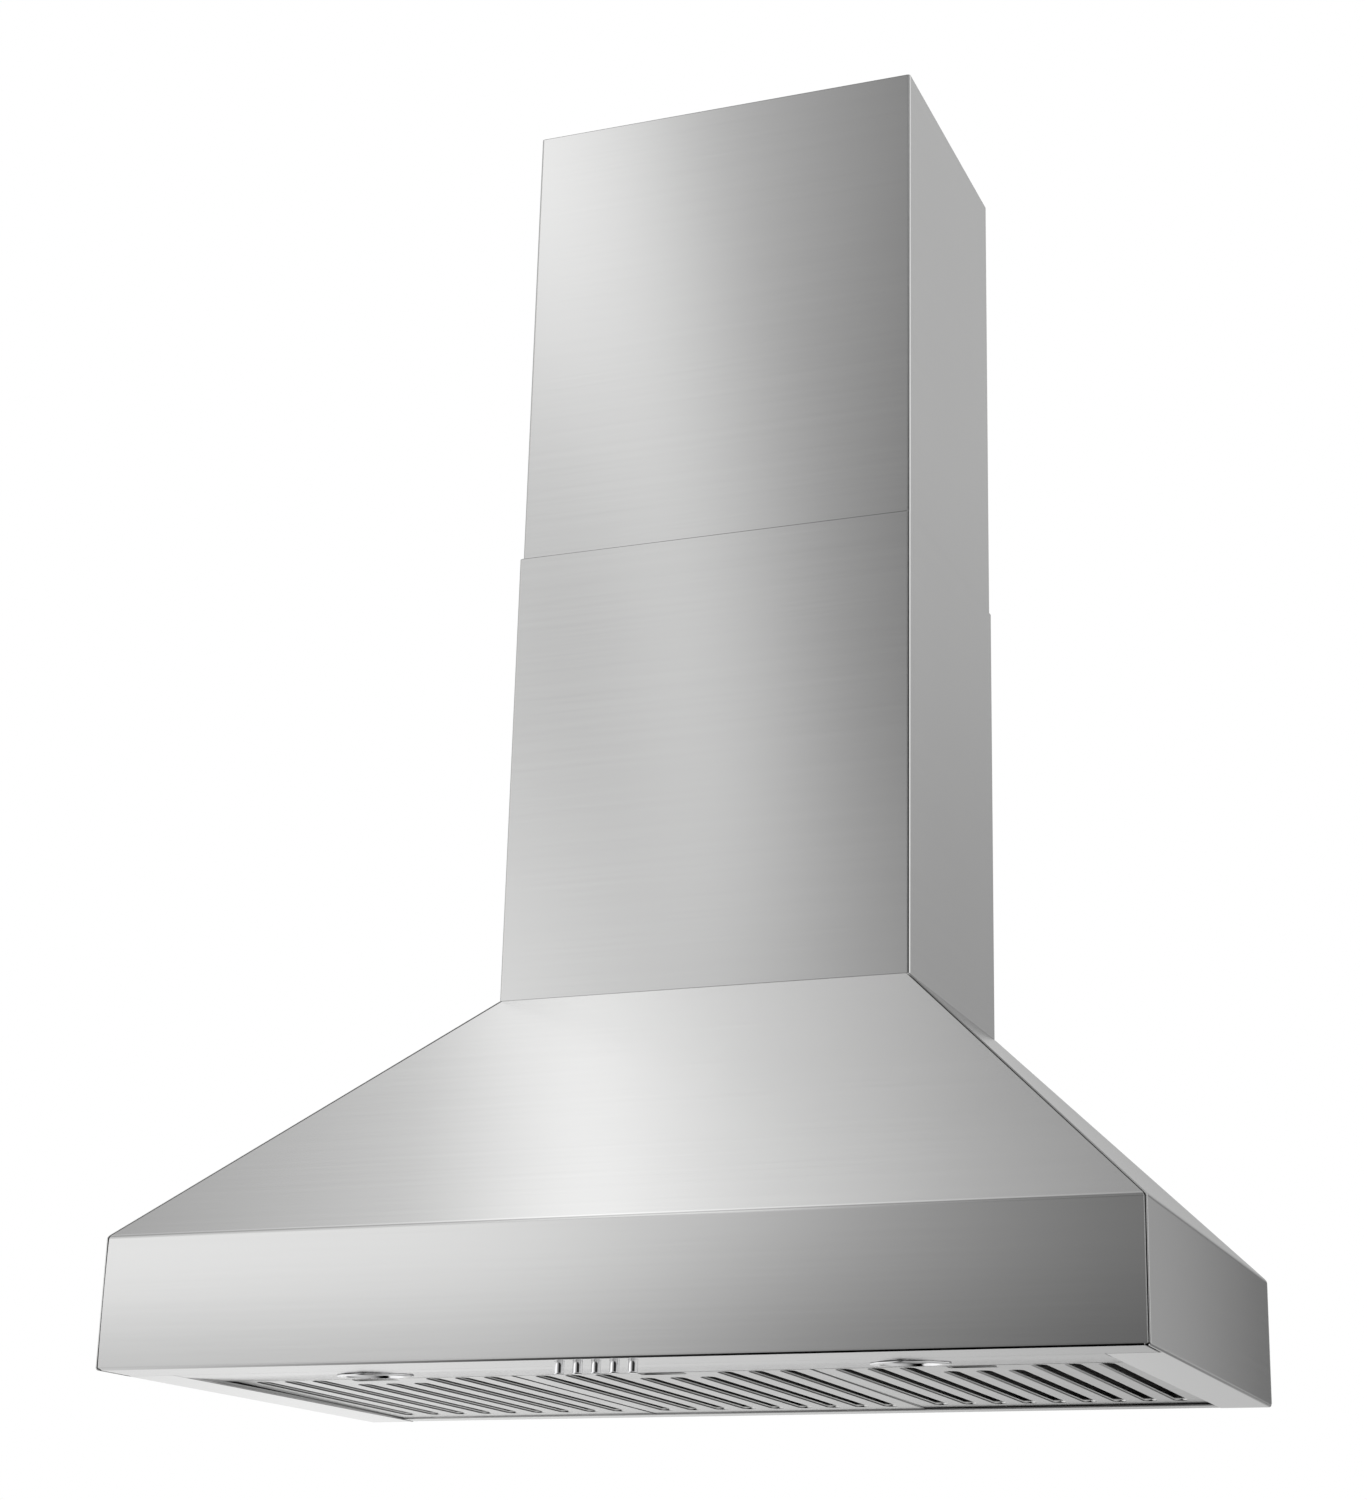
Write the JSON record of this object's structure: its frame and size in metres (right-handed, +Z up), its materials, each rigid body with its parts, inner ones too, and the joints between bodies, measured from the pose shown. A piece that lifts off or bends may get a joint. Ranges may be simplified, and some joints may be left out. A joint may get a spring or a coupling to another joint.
{
  "type": "chimney range hood",
  "caption": "Wall chimney range hood: pyramid canopy, telescoping chimney covers, slotted grease filters with latches, lamps, push buttons, blower and duct collar.",
  "frame": {"origin": "on the wall plane and the centreline, at the height of the two hanging slots in the canopy's back sheet", "axes": "+X to the right seen from the front, +Y into the wall, +Z up; the canopy's front faces -Y"},
  "size_m": [0.914, 0.508, 1.2805],
  "materials": {
    "brushed_steel": "stainless sheet, fine straight brushing",
    "filter_steel": "stainless sheet, soft sheen",
    "galvanised": "galvanised sheet, dull spangle",
    "chrome": "polished chrome",
    "reflector": "polished reflector",
    "wheel_aluminium": "plain sheet",
    "glass": "clear",
    "ceramic": "matt white ceramic",
    "black_plastic": "moulded, fine grain",
    "grey_plastic": "moulded, fine grain",
    "motor_paint": "dark satin paint"
  },
  "bodies": {
    "hood": {"canopy_front": "brushed_steel", "canopy_side_right": "brushed_steel", "canopy_side_left": "brushed_steel", "canopy_back": "brushed_steel", "canopy_top": "galvanised", "lower_chimney_cover": "brushed_steel", "light_rail": "brushed_steel", "lamp_ring_left": "chrome", "lamp_lens_left": "glass", "lamp_reflector_left": "reflector", "lamp_bulb_left": "glass", "lamp_holder_left": "ceramic", "lamp_ring_right": "chrome", "lamp_lens_right": "glass", "lamp_reflector_right": "reflector", "lamp_bulb_right": "glass", "lamp_holder_right": "ceramic", "switch_block": "black_plastic", "blower_scroll": "galvanised", "blower_plate_front": "galvanised", "blower_plate_rear": "galvanised", "blower_motor": "motor_paint", "motor_bracket": "galvanised", "outlet_collar": "black_plastic", "damper_pin": "galvanised", "control_box": "grey_plastic", "lamp_transformer": "black_plastic", "run_capacitor": "black_plastic", "cable_gland": "black_plastic"},
    "upper_chimney": {"upper_chimney_cover": "brushed_steel", "ceiling_bracket": "galvanised"},
    "push_button_1": {"button_1": "chrome"},
    "push_button_2": {"button_2": "chrome"},
    "push_button_3": {"button_3": "chrome"},
    "push_button_4": {"button_4": "chrome"},
    "push_button_5": {"button_5": "chrome"},
    "filter_left": {"filter_pan_left": "filter_steel", "filter_baffles_left": "filter_steel"},
    "filter_middle": {"filter_pan_middle": "filter_steel", "filter_baffles_middle": "filter_steel"},
    "filter_right": {"filter_pan_right": "filter_steel", "filter_baffles_right": "filter_steel"},
    "latch_left": {"filter_latch_left": "chrome"},
    "latch_middle": {"filter_latch_middle": "chrome"},
    "latch_right": {"filter_latch_right": "chrome"},
    "wheel": {"impeller": "wheel_aluminium", "motor_shaft": "galvanised"},
    "damper_right": {"damper_flap_right": "grey_plastic"},
    "damper_left": {"damper_flap_left": "grey_plastic"}
  },
  "joints": [
    {"name": "chimney_slide", "type": "slide", "parent": "hood", "child": "upper_chimney", "axis": [0, 0, -1], "range_m": [0, 0.4]},
    {"name": "button_1_press", "type": "slide", "parent": "hood", "child": "push_button_1", "axis": [0, 0, 1], "range_m": [0, 0.0035], "stiffness_N_per_m": 400},
    {"name": "button_2_press", "type": "slide", "parent": "hood", "child": "push_button_2", "axis": [0, 0, 1], "range_m": [0, 0.0035], "stiffness_N_per_m": 400},
    {"name": "button_3_press", "type": "slide", "parent": "hood", "child": "push_button_3", "axis": [0, 0, 1], "range_m": [0, 0.0035], "stiffness_N_per_m": 400},
    {"name": "button_4_press", "type": "slide", "parent": "hood", "child": "push_button_4", "axis": [0, 0, 1], "range_m": [0, 0.0035], "stiffness_N_per_m": 400},
    {"name": "button_5_press", "type": "slide", "parent": "hood", "child": "push_button_5", "axis": [0, 0, 1], "range_m": [0, 0.0035], "stiffness_N_per_m": 400},
    {"name": "filter_left_hinge", "type": "hinge", "parent": "hood", "child": "filter_left", "pos_m": [-0.27333, -0.0253, -0.23839], "axis": [1, 0, 0], "range_deg": [0, 70]},
    {"name": "filter_middle_hinge", "type": "hinge", "parent": "hood", "child": "filter_middle", "pos_m": [0, -0.0253, -0.23839], "axis": [1, 0, 0], "range_deg": [0, 70]},
    {"name": "filter_right_hinge", "type": "hinge", "parent": "hood", "child": "filter_right", "pos_m": [0.27333, -0.0253, -0.23839], "axis": [1, 0, 0], "range_deg": [0, 70]},
    {"name": "latch_left_slide", "type": "slide", "parent": "filter_left", "child": "latch_left", "axis": [0, 1, -0.0087], "range_m": [0, 0.0065], "stiffness_N_per_m": 500},
    {"name": "latch_middle_slide", "type": "slide", "parent": "filter_middle", "child": "latch_middle", "axis": [0, 1, -0.0087], "range_m": [0, 0.0065], "stiffness_N_per_m": 500},
    {"name": "latch_right_slide", "type": "slide", "parent": "filter_right", "child": "latch_right", "axis": [0, 1, -0.0087], "range_m": [0, 0.0065], "stiffness_N_per_m": 500},
    {"name": "wheel_spin", "type": "hinge", "parent": "hood", "child": "wheel", "pos_m": [-0.06156, -0.1425, -0.022], "axis": [0, 1, 0], "continuous": true},
    {"name": "damper_right_swing", "type": "hinge", "parent": "hood", "child": "damper_right", "pos_m": [0, -0.1425, 0.1446], "axis": [0, -1, 0], "range_deg": [0, 70]},
    {"name": "damper_left_swing", "type": "hinge", "parent": "hood", "child": "damper_left", "pos_m": [0, -0.1425, 0.1446], "axis": [0, 1, 0], "range_deg": [0, 70]}
  ]
}
